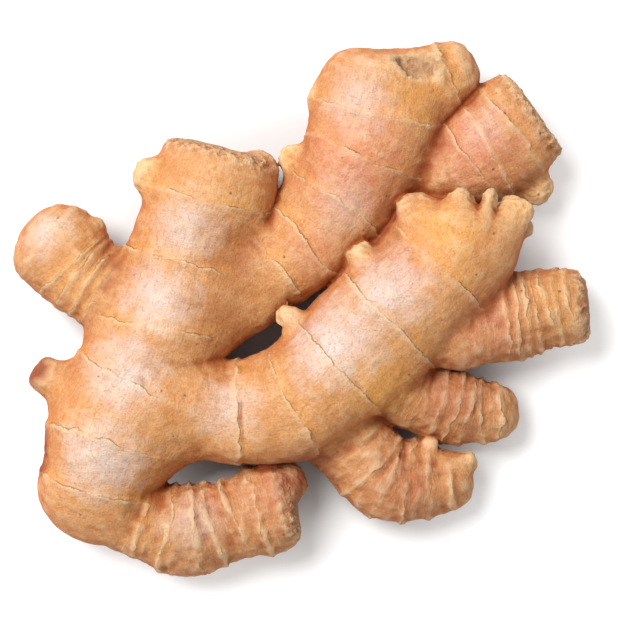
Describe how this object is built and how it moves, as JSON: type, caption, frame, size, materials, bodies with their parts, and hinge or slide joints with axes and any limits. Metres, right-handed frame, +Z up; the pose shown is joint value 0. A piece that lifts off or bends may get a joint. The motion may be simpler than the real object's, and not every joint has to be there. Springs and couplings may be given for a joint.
{
  "type": "ginger root",
  "caption": "Whole branching hand of fresh ginger lying flat, with ringed fingers, blunt side buds, and stalk and cut scars at the finger ends.",
  "frame": {"origin": "under the middle of the root's box, on the surface that it lies on", "axes": "+X along the root's longer reach, +Y across it towards the far fingers, +Z up through its thickness"},
  "size_m": [0.1442, 0.1338, 0.0333],
  "materials": {
    "ginger_skin": "thin papery tan skin with a soft satin sheen, fine lengthwise fibres and darker leaf-scar rings"
  },
  "bodies": {
    "root": {"ginger_root": "ginger_skin"}
  },
  "joints": []
}
